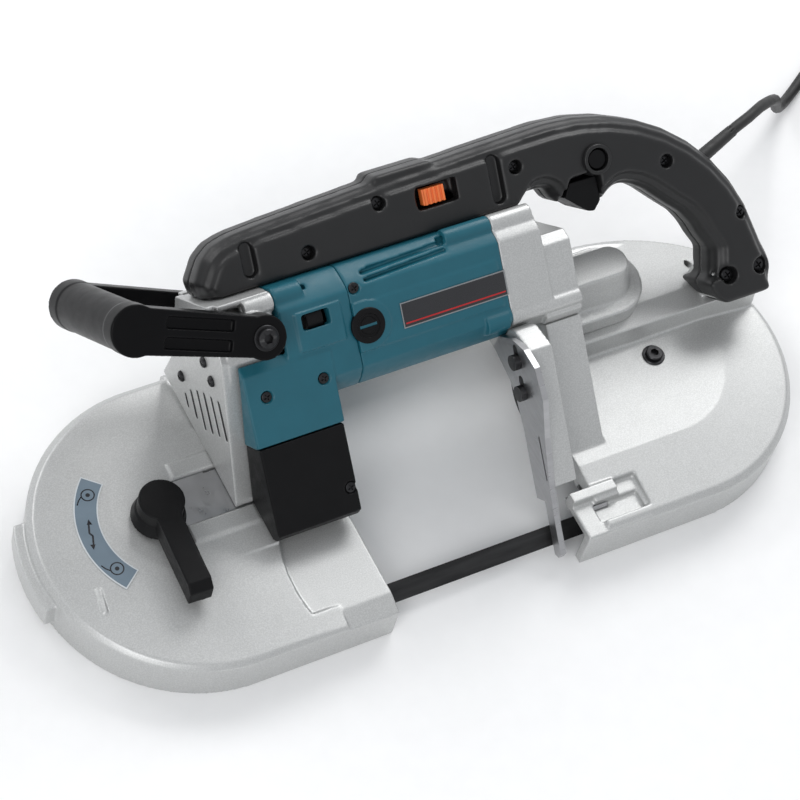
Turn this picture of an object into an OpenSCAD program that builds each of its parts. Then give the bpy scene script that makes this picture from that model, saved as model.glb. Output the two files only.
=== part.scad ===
// Portable deep-cut band saw, lying on the back of its wheel housings.
// X runs along the blade from the idler wheel to the drive wheel, Y from the cutting span to the
// return span, Z up. The motor, gear case and handles lie in a frame tilted 45 degrees about X,
// the frame that the cut is made in: its local Y is the feed direction, its local Z the depth.

/* [Blade and wheels] */
// Diameter of both blade wheels over their tyres
wheel_d = 160; // [156:1:161]
// Distance between the wheel axles
wheel_c = 318; // [314:1:320]
// Width of the blade
blade_w = 13; // [10:1:13]
// Thickness of the blade
blade_t = 0.6; // [0.5:0.1:0.8]
// Height of the middle of the blade above the resting face
blade_z = 12.5; // [12:0.5:13]

/* [Housings] */
// Outer radius of both wheel housings
housing_r = 100; // [98:1:102]
// Height of the rim where the side wall ends
rim_h = 31.5; // [31:0.5:33]
// Height of the flat top over each wheel
top_h = 36; // [36:0.5:37]
// Inside radius of the wheel wells
well_r = 93; // [90:1:94]
// Height of the ridge that carries the worm shaft
ridge_h = 50; // [48:1:52]

/* [Motor] */
// Half the height of the squared motor section
motor_half = 37; // [35:1:38]
// Radius that rounds the corners of that section
motor_r = 44; // [42:1:45]
// Distance of the motor axis from the wheel axles along the feed direction
motor_v = 116; // [115:1:117]
// Height of the motor axis along the depth direction
motor_w = 24; // [23:1:25]

/* [Main handle] */
// Thickness of the handle across its two halves
handle_w = 40; // [36:1:42]
// Diameter of the handle screws
screw_d = 4; // [3:0.5:5]

/* [Front handle] */
// Diameter of the grip
grip_d = 31; // [28:1:34]
// Distance between the arms of the front handle
grip_l = 94; // [92:1:96]

/* [Cord] */
// Diameter of the cord
cord_d = 7.5; // [6:0.5:8]
// Mean diameter of the stored coil
coil_d = 86; // [80:1:95]

/* [Hidden] */
$fn = 64;

// The whole saw moves this far so that its outline is centred on the origin
centre_x = -3.5;
centre_y = 22;
half_c = wheel_c / 2;
gap = 0.3;
fit = 0.05;

module lay() translate([-centre_x, -centre_y, 0]) children();
module tilt() lay() rotate([45, 0, 0]) children();
// A rod along X at depth frame position v, w
module rod_x(x0, x1, v, w, r) translate([x0, v, w]) rotate([0, 90, 0]) cylinder(r = r, h = x1 - x0);
module box(a, b) translate(a) cube(b - a);
// A profile given in Y and Z (or v and w), drawn out along X
module along_x(x0, x1, pts) translate([x0, 0, 0]) rotate([90, 0, 90]) linear_extrude(x1 - x0) polygon(pts);

// ---------------------------------------------------------------- frame
rim_in = 3.5;
plateau_r = 54;
skirt_h = 28;
edge_h = 8;
// Section of the right housing, from the skirt up to the flat top
slope = [[0, 0], [housing_r, 0], [housing_r, skirt_h], [housing_r - rim_in, rim_h],
         [plateau_r, top_h], [0, top_h]];
// Section of the left housing before its sloping top is cut
blunt = [[0, 0], [housing_r, 0], [housing_r, skirt_h], [housing_r - edge_h, skirt_h + edge_h], [0, top_h]];
left_end = -68;
step_x = -118;
strip_x = -102;
strip_y = -84;
low_h = 30;
right_end = 80;
guide_x = 65;
// The raised top of the left housing is centred beside the wheel axle
raised_at = [-160, 10];
raised_r = 46;

module left_body() {
  intersection() {
    union() {
      translate([-half_c, 0, 0]) rotate_extrude($fn = 180) polygon(blunt);
      mirror([0, 1, 0]) along_x(-half_c, strip_x, blunt);
      along_x(-half_c, -133, blunt);
    }
    difference() {
      translate([raised_at[0], raised_at[1], 0]) rotate_extrude($fn = 120)
        polygon([[0, 0], [140, 0], [140, 28], [raised_r, top_h], [0, top_h]]);
      box([left_end, strip_y, -1], [0, 120, 60]);
      // Edge of the step down to the lower top
      box([step_x, strip_y, low_h], [0, 200, 50]);
      intersection() {
        translate([-22, -62, low_h]) cylinder(r = 100.5, h = 20, $fn = 180);
        box([-130, strip_y, low_h], [0, -18, 50]);
      }
    }
  }
  // Lower top beside the throat
  along_x(step_x - 6, left_end, [[-18, 0], [-18, low_h], [-87.5, low_h], [-housing_r, 26], [-housing_r, 0]]);
  box([-half_c, -34, 0], [step_x, 56, top_h]);
  box([-133, 56, 0], [-100, housing_r, rim_h]);
  // Rails beside the tension slide
  box([-160, 28, top_h], [-133.3, 39, top_h + 1.5]);
  box([-166, -17, top_h], [-122, -5, top_h + 1.5]);
  // Tab on the rim, and the stop mark for the lever
  intersection() {
    translate([-half_c, 0, 9]) cylinder(r = housing_r + 7, h = 17);
    box([-270, -22, 9], [-240, 38, 26]);
  }
  translate([-233, -39, rim_h - 1]) rotate([0, 0, 81]) cube([16, 2.5, 3.4]);
}

module right_body() {
  translate([half_c, 0, 0]) rotate_extrude($fn = 180) polygon(slope);
  mirror([0, 1, 0]) along_x(right_end, half_c, slope);
  box([right_end, -44, 0], [half_c, 60, top_h]);
  // Guide block with its bar, in the front left corner
  box([guide_x, -housing_r, 0], [112, -69, 30]);
  box([guide_x, -76, 0], [97, -69, top_h]);
  // Ridge over the worm shaft, sloping away behind
  intersection() {
    along_x(right_end, 254, [[12, 0], [16, top_h], [18, ridge_h], [34, ridge_h], [99, 28], [99, 0]]);
    union() {
      translate([half_c, 0, 0]) cylinder(r = housing_r, h = 60, $fn = 180);
      box([right_end, 0, 0], [half_c, 100, 60]);
    }
  }
}

module blade_channel() {
  // Wheel wells, open at the back
  for (s = [-1, 1]) translate([s * half_c, 0, -1]) cylinder(r = well_r, h = blade_z + 9, $fn = 120);
  // Return span through the bridge
  box([-half_c, 75, -1], [half_c, 88, blade_z + 8]);
  // Cutting span through both housings
  box([-half_c, -94, -1], [left_end + 1, -58, 25]);
  box([guide_x - 1, -94, -1], [half_c, -60, 25]);
}

slide_y0 = -22;
slide_y1 = 34;
slide_z = 23;
slide_top = 30;
module carriage_pocket() {
  box([-205, slide_y0 - gap, blade_z], [-100, slide_y1 + gap, slide_top + gap]);
  // Slot for the tongue, between the rails
  box([-178, -4 - gap, slide_top - 1], [-112, 27 + gap, top_h + 3]);
}

worm_y = 42;
worm_z = 30;
worm_r = 8;
wheel_gear_r = 33;
mid_y = 50;
mid_z = 66;
mid_gear_r = 28.2;
gears_x0 = 94;
gears_x1 = 103;
seat_z = 23.8;
module gear_spaces() {
  // Worm wheel chamber, closed from below by the bearing plate
  translate([half_c, 0, 0]) cylinder(r = wheel_gear_r + 0.9, h = 33.6);
  translate([half_c, 0, 0]) cylinder(r = 36.3, h = seat_z);
  translate([gears_x0 - 2, worm_y, worm_z]) rotate([0, 90, 0]) cylinder(r = worm_r + 1, h = 100);
  mid_gear_space();
}
module mid_gear_space() {
  translate([gears_x0, mid_y, mid_z]) rotate([0, 90, 0]) cylinder(r = mid_gear_r + 1, h = gears_x1 - gears_x0);
  translate([gears_x0 - 2, mid_y, mid_z]) rotate([0, 90, 0]) cylinder(r = 4.3, h = 60);
}

bracket_x0 = 80;
bracket_x1 = 105;
bracket_w = 56;
module main_frame() color("silver") lay() difference() {
  union() {
    left_body();
    right_body();
    // Bridge that carries the return span behind the motor
    along_x(-133, 110, [[79, 0], [104, 0], [104, 26], [98, rim_h], [74, rim_h], [74, 8]]);
    // Bracket up to the gear housing, its face square to the depth direction
    along_x(bracket_x0, bracket_x1, [[-44, 30], [-44, 36], [19.8, 99], [84, 34.8], [84, 30]]);
    // Lug inside the foot of the handle
    along_x(214, 252, [[25, 40], [25, 50], [12, 63], [24, 75], [42, 64], [46, 40]]);
  }
  blade_channel();
  carriage_pocket();
  gear_spaces();
  // Clear of the gear housing above
  tilt_cut() box([0, motor_v - motor_half, -40], [120, 200, 100]);
  // Recesses beside the guide bar
  box([78, -92, 27], [110, -79, 40]);
  box([97, -92, 30], [113, -69, 40]);
  // The wall beside the throat leans back under the bracket
  translate([0, 74, 0]) rotate([90, 0, 0]) linear_extrude(142.9) polygon([[50, -1], [93, -1],
    [right_end, 20.5], [right_end, 60], [50, 60]]);
  // Seats of the blade guides
  for (x = guide_at) tilt_cut() along_x(x - 9.5, x + 9.5, [[blade_v - 14, blade_w0 - 11],
    [blade_v - 14, blade_w0 + 10.4], [blade_v + 12.2, blade_w0 + 10.4], [blade_v + 16, blade_w0 + 5.4],
    [blade_v + 16, blade_w0 - 11]]);
  // Holes: lever shaft, housing bolt, handle foot screws
  translate([lever_x, lever_y, 20]) cylinder(r = 6 + fit, h = 20);
  translate([168, 2, 34]) cylinder(r = 4.1, h = 30);
  for (x = foot_screw_x) tilt_cut() translate([x, foot_screw_v, -20]) cylinder(r = 2.2, h = 80);
}
foot_screw_x = [222.5, 246.5];
foot_screw_v = 67.5;
// Parts of the frame cut in the tilted frame, before the shift of lay()
module tilt_cut() rotate([45, 0, 0]) children();

module left_bracket() color("silver") tilt() difference() {
  union() {
    // Side wall with the slots
    along_x(-133, -128, bracket_side);
    // Front wall that follows its leading edge
    along_x(-128, -95, [[23, 22], [23, 28], [101, 51], [116, 56], [152.9, 56], [152.9, 50], [118, 50], [102, 45]]);
    // End plate that carries the motor
    along_x(-100, -94, [[88, 0], [79, 12], [79, 40], [100, 48], [118, 50], [152.9, 50], [152.9, 0]]);
    // Top wall
    box([-128, 147, 6], [-94, 152.9, 50]);
    // Bosses for the front handle and the long motor screw
    translate([pivot_at[0], pivot_at[1], 50]) cylinder(r = 13, h = 13.7);
    translate([pivot_at[0], pivot_at[1], -13.7]) cylinder(r = 13, h = 16);
    box([-128, 96, -4], [-94, 152.9, 2]);
    rod_x(-112, -93.5, 146, 53, 6);
  }
  // Keep it on the housing and out of the tension slide
  rotate([-45, 0, 0]) box([-140, -60, 0], [-90, 200, top_h]);
  rotate([-45, 0, 0]) box([-128.5, -6, 0], [-90, 28, top_h + 0.4]);
  rotate([-45, 0, 0]) box([-140, -20, 0], [-120, -4.8, top_h + 1.7]);
  // Vent slots
  for (i = [0:5]) box([-134, slot_top[i] - slot_len[i], -17 + 10.6 * i], [-127, slot_top[i], -14.4 + 10.6 * i]);
  translate([pivot_at[0], pivot_at[1], -30]) cylinder(r = 4.05, h = 110);
  rod_x(-120, -80, 146, 53, 2.2);
  rod_x(-130, -112, 146, 53, 5);
  for (p = bracket_screw_at) rod_x(-140, -120, p[0], p[1], 2.1);
}
bracket_side = [[23, 28], [97, -46], [114, -20], [152.9, 4], [152.9, 50], [118, 56], [101, 51]];
bracket_screw_at = [[99.4, -14.5], [116, 29], [105, 35]];
slot_top = [88, 92, 93.5, 94, 93.5, 92.5];
slot_len = [9, 18, 25, 26, 25, 25];
module bracket_screws() color("dimgray") tilt() for (p = bracket_screw_at) {
  rod_x(-136, -133, p[0], p[1], 3.6);
  rod_x(-133, -120, p[0], p[1], 2);
}

// Squared section of the motor and gear housing, drawn along X
module motor_section(x0, x1, less = 0) intersection() {
  rod_x(x0, x1, motor_v, motor_w, motor_r - less);
  box([x0, motor_v - motor_half + less, motor_w - motor_half + less],
      [x1, motor_v + motor_half - less, motor_w + motor_half - less]);
}
teal = [0.16, 0.42, 0.5];
cover_x0 = -93;
seam_x = -47;
gear_x0 = 56;
gear_x1 = 86;
flange_x1 = 106;

module motor_housing() color(teal) tilt() difference() {
  union() {
    motor_section(seam_x, gear_x0);
    rod_x(24, gear_x0, 149.5, 50.5, 6);
    rod_x(38, arm_x0 - 0.4, 92, 57, 7);
    rod_x(arm_x0 - 0.5, gear_x0, 93.5, 57, 6);
    // Raised band under the nameplate
    box([-40, 101, 58], [52, 130, 61.8]);
  }
  rod_x(seam_x - 1, gear_x0 + 1, motor_v, motor_w, 33);
  // Sunk groove near the handle
  box([-30, 146, 52], [26, 148.5, 54]);
  rod_x(20, 60, 149.5, 50.5, 2.2);
  box([-16.5, 106.5, 61.2], [56.5, 123, 63]);
  brush_port(1);
  brush_port(-1);
  cover_screw_hole(seam_screw_at, 59.2);
}
module cover_screw_hole(p, w) translate([p[0], p[1], w]) {
  cylinder(r = 4, h = 10);
  translate([0, 0, -11]) cylinder(r = 2.1, h = 12);
}
brush_x = -39;
module brush_port(side) translate([brush_x, motor_v, motor_w]) mirror([0, 0, side < 0 ? 1 : 0]) {
  translate([0, 0, 30]) cylinder(r = 9, h = 20);
}

box_x0 = -124;
box_x1 = -66;
box_w = 62;
box_split = 63;
lean = 0.3;
// The box stands in front of the leading wall of the left bracket
function behind(v) = 29 + (v - 23) * lean;
module rear_cover() color(teal) tilt() difference() {
  union() {
    motor_section(cover_x0, seam_x);
    along_x(box_x0, box_x1, [[box_split, behind(box_split)], [box_split, box_w - 4],
      [box_split + 1, box_w], [108, box_w], [114, 58], [114, 56.5], [100, 53]]);
    rod_x(cover_x0, -74, 147, 52, 6.5);
    // Frame around the dial
    box([-84, 112, 56], [-54, 136, 62.5]);
    // Ring round the brush cap
    translate([brush_x - 1, motor_v, 58]) intersection() {
      cylinder(r = 14.5, h = 5);
      translate([-20, -20, 0]) cube([12 + seam_x - brush_x + 1, 40, 6]);
    }
  }
  rod_x(cover_x0 - 1, seam_x + 1, motor_v, motor_w, 33);
  rod_x(cover_x0 - 5, -70, 147, 52, 2.2);
  // Window and seat of the speed dial
  box([-80, 124.5, 50], [-62, 134, 64]);
  rod_x(-77, -65, dial_v, 51.8, dial_r + 0.4);
  // Room for the speed control board
  box([box_x0 + 4, box_split - 1, 48], [box_x1 - 4, 100, box_w - 3]);
  brush_port(1);
  brush_port(-1);
  for (p = cover_screw_at) cover_screw_hole(p, 60);
}
cover_screw_at = [[-73.5, 93], [-111.4, 93]];
seam_screw_at = [-42.6, 140];
lamp_screw_at = [-71, 23];
module cover_screws() color("dimgray") tilt() {
  for (p = [[cover_screw_at[0], 60], [cover_screw_at[1], 60], [seam_screw_at, 59.2], [lamp_screw_at, 60]])
    translate([p[0][0], p[0][1], p[1]]) {
      cylinder(r = 3.4, h = 1.8);
      translate([0, 0, -8]) cylinder(r = 2, h = 8.5);
    }
  // Long screws into the motor ends
  rod_x(-115, -112, 146, 53, 4);
  rod_x(20.5, gear_x1 - 9, 149.5, 50.5, 2);
}

module lamp_housing() color("black") tilt() difference() {
  along_x(box_x0 + 1, box_x1 - 1, [[5, 30], [4, box_w - 6], [8, box_w], [box_split, box_w],
    [box_split, behind(box_split)], [24, 30.5]]);
  rotate([-45, 0, 0]) box([-140, -100, 0], [-50, 100, top_h + 3]);
  box([box_x0 + 5, 14, 50], [box_x1 - 5, box_split - 4, box_w - 3]);
  cover_screw_hole(lamp_screw_at, 60);
  // Lens opening towards the cut
  box([box_x1 - 8, 31, 50.5], [box_x1 + 1, 43, 58]);
}
module lamp() color("white") tilt() {
  box([box_x1 - 7, 31.3, 50.8], [box_x1 - 1.5, 42.7, 57.7]);
  rod_x(box_x1 - 22, box_x1 - 7, 37, 54.2, 3);
}

module nameplate() color("dimgray") tilt() box([-16.2, 106.8, 61.2], [56, 122.7, 62]);

module gear_housing() color("silver") tilt() difference() {
  union() {
    motor_section(gear_x0, gear_x1);
    rod_x(gear_x0, gear_x1 - 1, 149.5, 50.5, 6);
    rod_x(gear_x0, flange_x1, 91.5, 56.5, 5.5);
    // Flange block round the first gear pair
    along_x(gear_x1 - 6, flange_x1, [[79, -24], [79, 54], [84, 59], [128, 59], [134, 53], [134, -8], [118, -24]]);
  }
  // Motor end, gear space and shaft bores
  rod_x(gear_x0 - 1, 60, motor_v, motor_w, 33);
  rod_x(gear_x0 - 1, flange_x1 + 1, motor_v, motor_w, 4.3);
  rod_x(gears_x0, gears_x1, motor_v, motor_w, 10);
  rotate([-45, 0, 0]) mid_gear_space();
  rod_x(gear_x0 - 1, gear_x1 - 8, 149.5, 50.5, 2.2);
}

// Two-level cover over the intermediate shaft
module stadium(x0, x1, y, r, z0, z1, rt) {
  translate([x1, y, z0]) cylinder(r1 = r, r2 = rt, h = z1 - z0);
  along_x(x0, x1, [[y - r, z0], [y + r, z0], [y + rt, z1], [y - rt, z1]]);
}
module gear_cover() color("silver") lay() difference() {
  union() {
    stadium(flange_x1 + 0.1, 150, 51, 26.5, ridge_h - 12, 63, 26);
    stadium(flange_x1 + 0.1, 150, 51, 17, 63, 85, 11);
  }
  box([100, 15, 30], [200, 34, ridge_h + 0.1]);
  along_x(100, 200, [[33.9, 20], [33.9, ridge_h + 0.1], [99, 28.1], [99, 20]]);
  translate([100, mid_y, mid_z]) rotate([0, 90, 0]) cylinder(r = 4.3, h = 46);
}

// ---------------------------------------------------------------- stopper
arm_x0 = 54;
arm_x1 = 69.5;
module stop_arm() color("silver") tilt() difference() {
  along_x(arm_x0, arm_x1, [[-14, 60], [-14, 80], [74, 80], [84.5, 64.5], [84.5, 57], [79, 49.5],
    [79, 45.5], [60, 45.5], [20, 60]]);
  rotate([-45, 0, 0]) box([50, -100, 0], [90, 100, top_h]);
  for (v = stop_screw_v) rod_x(50, arm_x1 - 2, v, 69, 2.55);
}
stop_screw_v = [67, 47];
plate_travel = 8;
plate_x0 = 50;
module stopper_plate() color("lightgray") tilt() difference() {
  along_x(plate_x0, arm_x0 - 0.1, [[72, 40], [80, 50], [81, 66], [76, 80], [66, 90], [46, 93],
    [20, 86], [-12, 80], [-40, 78], [-58, 78], [-61, 74], [-58, 64], [-45, 60], [22, 60], [40, 58],
    [52, 54]]);
  // Slots for the two screws
  for (v = stop_screw_v) {
    box([48, v, 66.2], [56, v + plate_travel, 71.8]);
    for (d = [0, plate_travel]) rod_x(48, 56, v + d, 69, 2.8);
  }
  // Notch that the blade runs through
  box([48, blade_v - 24, blade_w0 - 8], [56, blade_v + 24, blade_w0 + 4]);
  // Relief beside the work face
  box([plate_x0 - 1, -9, 77.5], [plate_x0 + 1, 20, 79]);
}
module stopper_screws() color("dimgray") tilt() for (v = stop_screw_v) {
  rod_x(46, plate_x0 - 0.1, v, 69, 5);
  rod_x(plate_x0 - 0.1, arm_x1 - 3, v, 69, 2.5);
}
module housing_bolt() color("black") lay() translate([168, 2, 0]) difference() {
  union() {
    translate([0, 0, top_h]) cylinder(r = 7.5, h = 4);
    translate([0, 0, top_h - 2]) cylinder(r = 4, h = 2.1);
  }
  translate([0, 0, top_h + 1.4]) cylinder(r = 3.5, h = 5, $fn = 6);
}

// ---------------------------------------------------------------- blade
blade_r = wheel_d / 2 + 0.35 + blade_t / 2;
arc_n = 24;
twist_n = 10;
twist_x0 = -150;
twist_x1 = -92;
hold_x1 = 84;
// Centre of the cutting span in the tilted frame
blade_v = (blade_z - blade_r) * sqrt(0.5);
blade_w0 = (blade_z + blade_r) * sqrt(0.5);
function ease(t) = t <= 0 ? 0 : t >= 1 ? 1 : t * t * (3 - 2 * t);
function twist_at(x) = 45 * (ease((x - twist_x0) / (twist_x1 - twist_x0)) - ease((x - hold_x1) / 58));
// One station of the band: place, the direction of travel and the twist
function station(x, y, turn, tw) = [x, y, turn, tw];
band = concat(
  [for (i = [0:2 * twist_n]) let (x = twist_x0 + i * (hold_x1 + 58 - twist_x0) / (2 * twist_n))
     station(x, -blade_r, 0, twist_at(x))],
  [for (i = [0:arc_n]) let (a = -90 + 180 * i / arc_n)
     station(half_c + blade_r * cos(a), blade_r * sin(a), a + 90, 0)],
  [for (i = [0:arc_n]) let (a = 90 + 180 * i / arc_n)
     station(-half_c + blade_r * cos(a), blade_r * sin(a), a + 90, 0)]);
function band_point(s, across, out) = let (
    n = [sin(s[2]), -cos(s[2]), 0],
    c = cos(s[3]), q = sin(s[3]),
    up = [0, 0, 1] * c - n * q, off = n * c + [0, 0, 1] * q)
  [s[0], s[1], blade_z] + up * across + off * out;
module blade() color([0.08, 0.08, 0.08]) lay() {
  n = len(band);
  polyhedron(
    points = [for (s = band) for (k = [[-1, -1], [1, -1], [1, 1], [-1, 1]])
      band_point(s, k[0] * blade_w / 2, k[1] * blade_t / 2)],
    faces = [for (i = [0:n - 1]) for (k = [0:3]) let (j = (i + 1) % n, m = (k + 1) % 4)
      for (side = [[i * 4 + k, i * 4 + m, j * 4 + m], [i * 4 + k, j * 4 + m, j * 4 + k]]) side],
    convexity = 4);
}

rim_w = 13;
tyre_t = 3;
tyre_in = wheel_d / 2 - tyre_t;
module wheel_body(bore) difference() {
  union() {
    translate([0, 0, blade_z - rim_w / 2]) cylinder(r = tyre_in - 0.02, h = rim_w, $fn = 120);
    translate([0, 0, blade_z - 7]) cylinder(r = 18, h = 14.3);
  }
  for (z = [blade_z - rim_w / 2 - 1, blade_z + 1.5]) translate([0, 0, z]) difference() {
    cylinder(r = tyre_in - 5, h = rim_w / 2);
    cylinder(r = 18, h = rim_w / 2);
  }
  for (i = [0:5]) rotate(i * 60) translate([46, 0, 0]) cylinder(r = 12, h = 40);
  translate([0, 0, -1]) cylinder(r = bore, h = 40);
}
module tyre() rotate_extrude($fn = 120) translate([tyre_in, blade_z - rim_w / 2]) square([tyre_t, rim_w]);

module idler_wheel() color("lightgray") lay() translate([-half_c, 0, 0]) wheel_body(11 + fit);
module idler_tyre() color([0.1, 0.1, 0.1]) lay() translate([-half_c, 0, 0]) tyre();
module drive_wheel() color("lightgray") lay() translate([half_c, 0, 0]) wheel_body(7);
module drive_tyre() color([0.1, 0.1, 0.1]) lay() translate([half_c, 0, 0]) tyre();
module idler_bearings() color("gainsboro") lay() translate([-half_c, 0, 0])
  for (z = [blade_z - 6.5, blade_z + 0.5]) translate([0, 0, z]) difference() {
    cylinder(r = 11, h = 6.5);
    translate([0, 0, -1]) cylinder(r = 5.05, h = 9);
  }
module idler_axle() color("gray") lay() translate([-half_c, 0, 0]) {
  translate([0, 0, 4.5]) cylinder(r = 5, h = slide_z - 4.5);
  translate([0, 0, 3]) cylinder(r = 7.5, h = 2.4);
}
module drive_shaft() color("gray") lay() translate([half_c, 0, 0]) {
  translate([0, 0, 4]) cylinder(r = 6.95, h = 29.3);
  translate([0, 0, 3]) cylinder(r = 9, h = 2);
}
module drive_bearings() color("gainsboro") lay() translate([half_c, 0, 0])
  translate([0, 0, blade_z + 8.6]) difference() {
    cylinder(r = 14, h = 5.4);
    translate([0, 0, -1]) cylinder(r = 7, h = 9);
  }
// Closes the worm wheel chamber and holds the bearing of the drive shaft
module bearing_plate() color("silver") lay() translate([half_c, 0, blade_z + 8.3]) difference() {
  union() {
    cylinder(r = 36, h = seat_z - blade_z - 8.3);
    cylinder(r = 17.5, h = 5.8);
  }
  translate([0, 0, -1]) cylinder(r = 14, h = 9);
}

// Spur or worm gear as a toothed disc, axis along Z
module gear(r, h, bore, teeth, depth) difference() {
  cylinder(r = r, h = h);
  for (i = [0:teeth - 1]) rotate(i * 360 / teeth) translate([r + depth * 0.1, 0, -1])
    rotate(45) cube([depth, depth, 2 * h + 4], center = true);
  translate([0, 0, -1]) cylinder(r = bore, h = h + 2);
}
module worm_wheel() color("goldenrod") lay() translate([half_c, 0, 27.2])
  gear(wheel_gear_r - 0.2, 5.8, 7, 36, 3);
module worm_shaft() color("gray") lay() translate([0, worm_y, worm_z]) rotate([0, 90, 0]) {
  translate([0, 0, 93]) cylinder(r = 4, h = 97);
  translate([0, 0, half_c - 18]) cylinder(r = 6, h = 36);
  for (i = [0:8]) translate([0, 0, half_c - 17 + i * 4]) cylinder(r = worm_r, h = 1.6);
  translate([0, 0, gears_x0 + 2]) gear(8.4, 6, 3.9, 16, 1.6);
}
module intermediate_shaft() color("gray") lay() translate([0, mid_y, mid_z]) rotate([0, 90, 0]) {
  translate([0, 0, gears_x0 - 1]) cylinder(r = 4, h = 50);
  translate([0, 0, gears_x0 + 2]) gear(mid_gear_r, 6, 3.9, 54, 1.6);
}

// ---------------------------------------------------------------- tension
lever_x = -180;
lever_y = 7;
module tension_carriage() color("lightgray") lay() difference() {
  union() {
    box([-202, slide_y0, slide_z], [-120, slide_y1, slide_top]);
    box([-168, -4, slide_z], [-122, 27, top_h - 0.6]);
  }
  // Window round the cam, and the slots that take the springs
  box([-196, -8, slide_z - 1], [-168, 22, top_h]);
  for (y = spring_y) box([-141, y - 4, slide_z - 1], [-119, y + 4, top_h]);
}
spring_y = [-14, 30];
module tension_spring() color("gray") lay() for (y = spring_y) translate([-132, y, 26.5])
  rotate([0, 90, 0]) for (i = [0:13]) translate([0, 0, 1.2 + i * 2.25]) rotate_extrude($fn = 32)
    translate([2.2, 0]) circle(r = 1.2, $fn = 16);
module cam_shaft() color("gray") lay() {
  translate([lever_x, lever_y, 22]) cylinder(r = 6, h = top_h - 22 + 8);
  translate([lever_x - 1, lever_y, slide_z + 0.5]) cylinder(r = 7.2, h = slide_top - slide_z - 1);
}
knob_h = 58;
module tension_lever() color("black") lay() difference() {
  union() {
    translate([lever_x, lever_y, top_h + 3]) cylinder(r1 = 17, r2 = 15, h = 8);
    translate([lever_x, lever_y, top_h + 8]) cylinder(r = 14, h = knob_h - top_h - 8);
    translate([lever_x, lever_y, 0]) rotate([0, 0, -92]) lever_arm();
  }
  translate([lever_x, lever_y, top_h - 1]) cylinder(r = 6.05, h = 9.1);
}
module lever_arm() rotate([90, 0, 0]) linear_extrude(15, center = true)
  polygon([[4, 46], [4, knob_h], [58, knob_h - 1], [63, knob_h - 5], [63, knob_h - 16], [60, 41.5], [16, 41.5]]);
function cone_z(r) = top_h - (r - raised_r) * 8 / (140 - raised_r);
module tension_label() color("slategray") lay() translate([-half_c - 9.5, 7, 0]) intersection() {
  // Lies on the sloping top as an arc band
  difference() {
    translate([0, 0, 30]) cylinder(r = 60, h = 8);
    translate([0, 0, 29]) cylinder(r = 46.4, h = 10);
  }
  translate([8.5, 3, 0]) rotate_extrude($fn = 180) polygon([[40, top_h], [40, top_h + 0.6],
    [raised_r, top_h + 0.6], [120, cone_z(120) + 0.6], [120, cone_z(120)], [raised_r, top_h]]);
  linear_extrude(50) polygon([[0, 0], [-85, 85], [-170, 0], [-96, -72]]);
}

// ---------------------------------------------------------------- blade guides
roller_r = 5;
back_r = 3.4;
guide_at = [-86, 80];
module guide(x) color("lightgray") tilt() {
  difference() {
    along_x(x - 9, x + 9.2, [[blade_v + 8.5, blade_w0 - 10], [blade_v + 8.5, blade_w0 + 10],
      [blade_v + 12, blade_w0 + 10], [blade_v + 16, blade_w0 + 5], [blade_v + 16, blade_w0 - 10]]);
    box([x + 1.6, blade_v + 8, blade_w0 - 2.9], [x + 9.3, blade_v + 14.5, blade_w0 + 2.9]);
  }
  // Pin of the back roller
  translate([x + 5.4, blade_v + blade_w / 2 + back_r + 0.2, blade_w0 - 3.5]) cylinder(r = 1, h = 7);
}
module left_guide() guide(guide_at[0]);
module right_guide() guide(guide_at[1]);
module side_roller(x, side) color("gainsboro") tilt()
  translate([x, blade_v - 5.5, blade_w0 + side * (blade_t / 2 + roller_r + 0.1)]) rotate([-90, 0, 0]) difference() {
    union() {
      cylinder(r = roller_r, h = 12);
      translate([0, 0, 12]) cylinder(r = 2, h = 1.95);
    }
    translate([0, 0, -1]) cylinder(r = 1, h = 4);
  }
module back_roller(x) color("gainsboro") tilt()
  translate([x + 5.4, blade_v + blade_w / 2 + back_r + 0.2, blade_w0 - 2.5]) difference() {
    cylinder(r = back_r, h = 5);
    translate([0, 0, -1]) cylinder(r = 1.05, h = 7);
  }
module left_roller_outer() side_roller(guide_at[0], 1);
module left_roller_inner() side_roller(guide_at[0], -1);
module left_roller_back() back_roller(guide_at[0]);
module right_roller_outer() side_roller(guide_at[1], 1);
module right_roller_inner() side_roller(guide_at[1], -1);
module right_roller_back() back_roller(guide_at[1]);

// ---------------------------------------------------------------- motor inside
module stator() color("darkslategray") tilt() difference() {
  rod_x(-22, 24, motor_v, motor_w, 32.8);
  rod_x(-23, 25, motor_v, motor_w, 22);
}
module armature() color("peru") tilt() {
  rod_x(-80, 105, motor_v, motor_w, 4);
  rod_x(-22, 24, motor_v, motor_w, 21);
  rod_x(-45, -31, motor_v, motor_w, 12);
  rod_x(30, 42, motor_v, motor_w, 29);
  rod_x(gears_x0 + 2, gears_x0 + 8, motor_v, motor_w, 7.8);
}
module motor_bearings() color("gainsboro") tilt() difference() {
  union() {
    rod_x(-78, -70, motor_v, motor_w, 11);
    rod_x(48, 56, motor_v, motor_w, 11);
  }
  rod_x(-90, 90, motor_v, motor_w, 4.05);
}
module brushes() color([0.2, 0.2, 0.2]) tilt() for (s = [-1, 1])
  translate([brush_x - 4, motor_v - 4, motor_w + (s > 0 ? 12.3 : -30.3)]) cube([8, 8, 18]);
module brush_caps() color([0.12, 0.12, 0.12]) tilt() for (s = [-1, 1])
  translate([brush_x, motor_v, motor_w]) mirror([0, 0, s < 0 ? 1 : 0]) difference() {
    translate([0, 0, 31]) cylinder(r = 8.9, h = 8);
    translate([-7, -1, 37.5]) cube([14, 2, 3]);
  }
dial_v = 129.2;
dial_r = 9.5;
module speed_dial() color([0.25, 0.25, 0.25]) tilt() rod_x(-76, -66, dial_v, 51.8, dial_r * 0.95);

// ---------------------------------------------------------------- main handle
handle_mid = motor_w;
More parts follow.
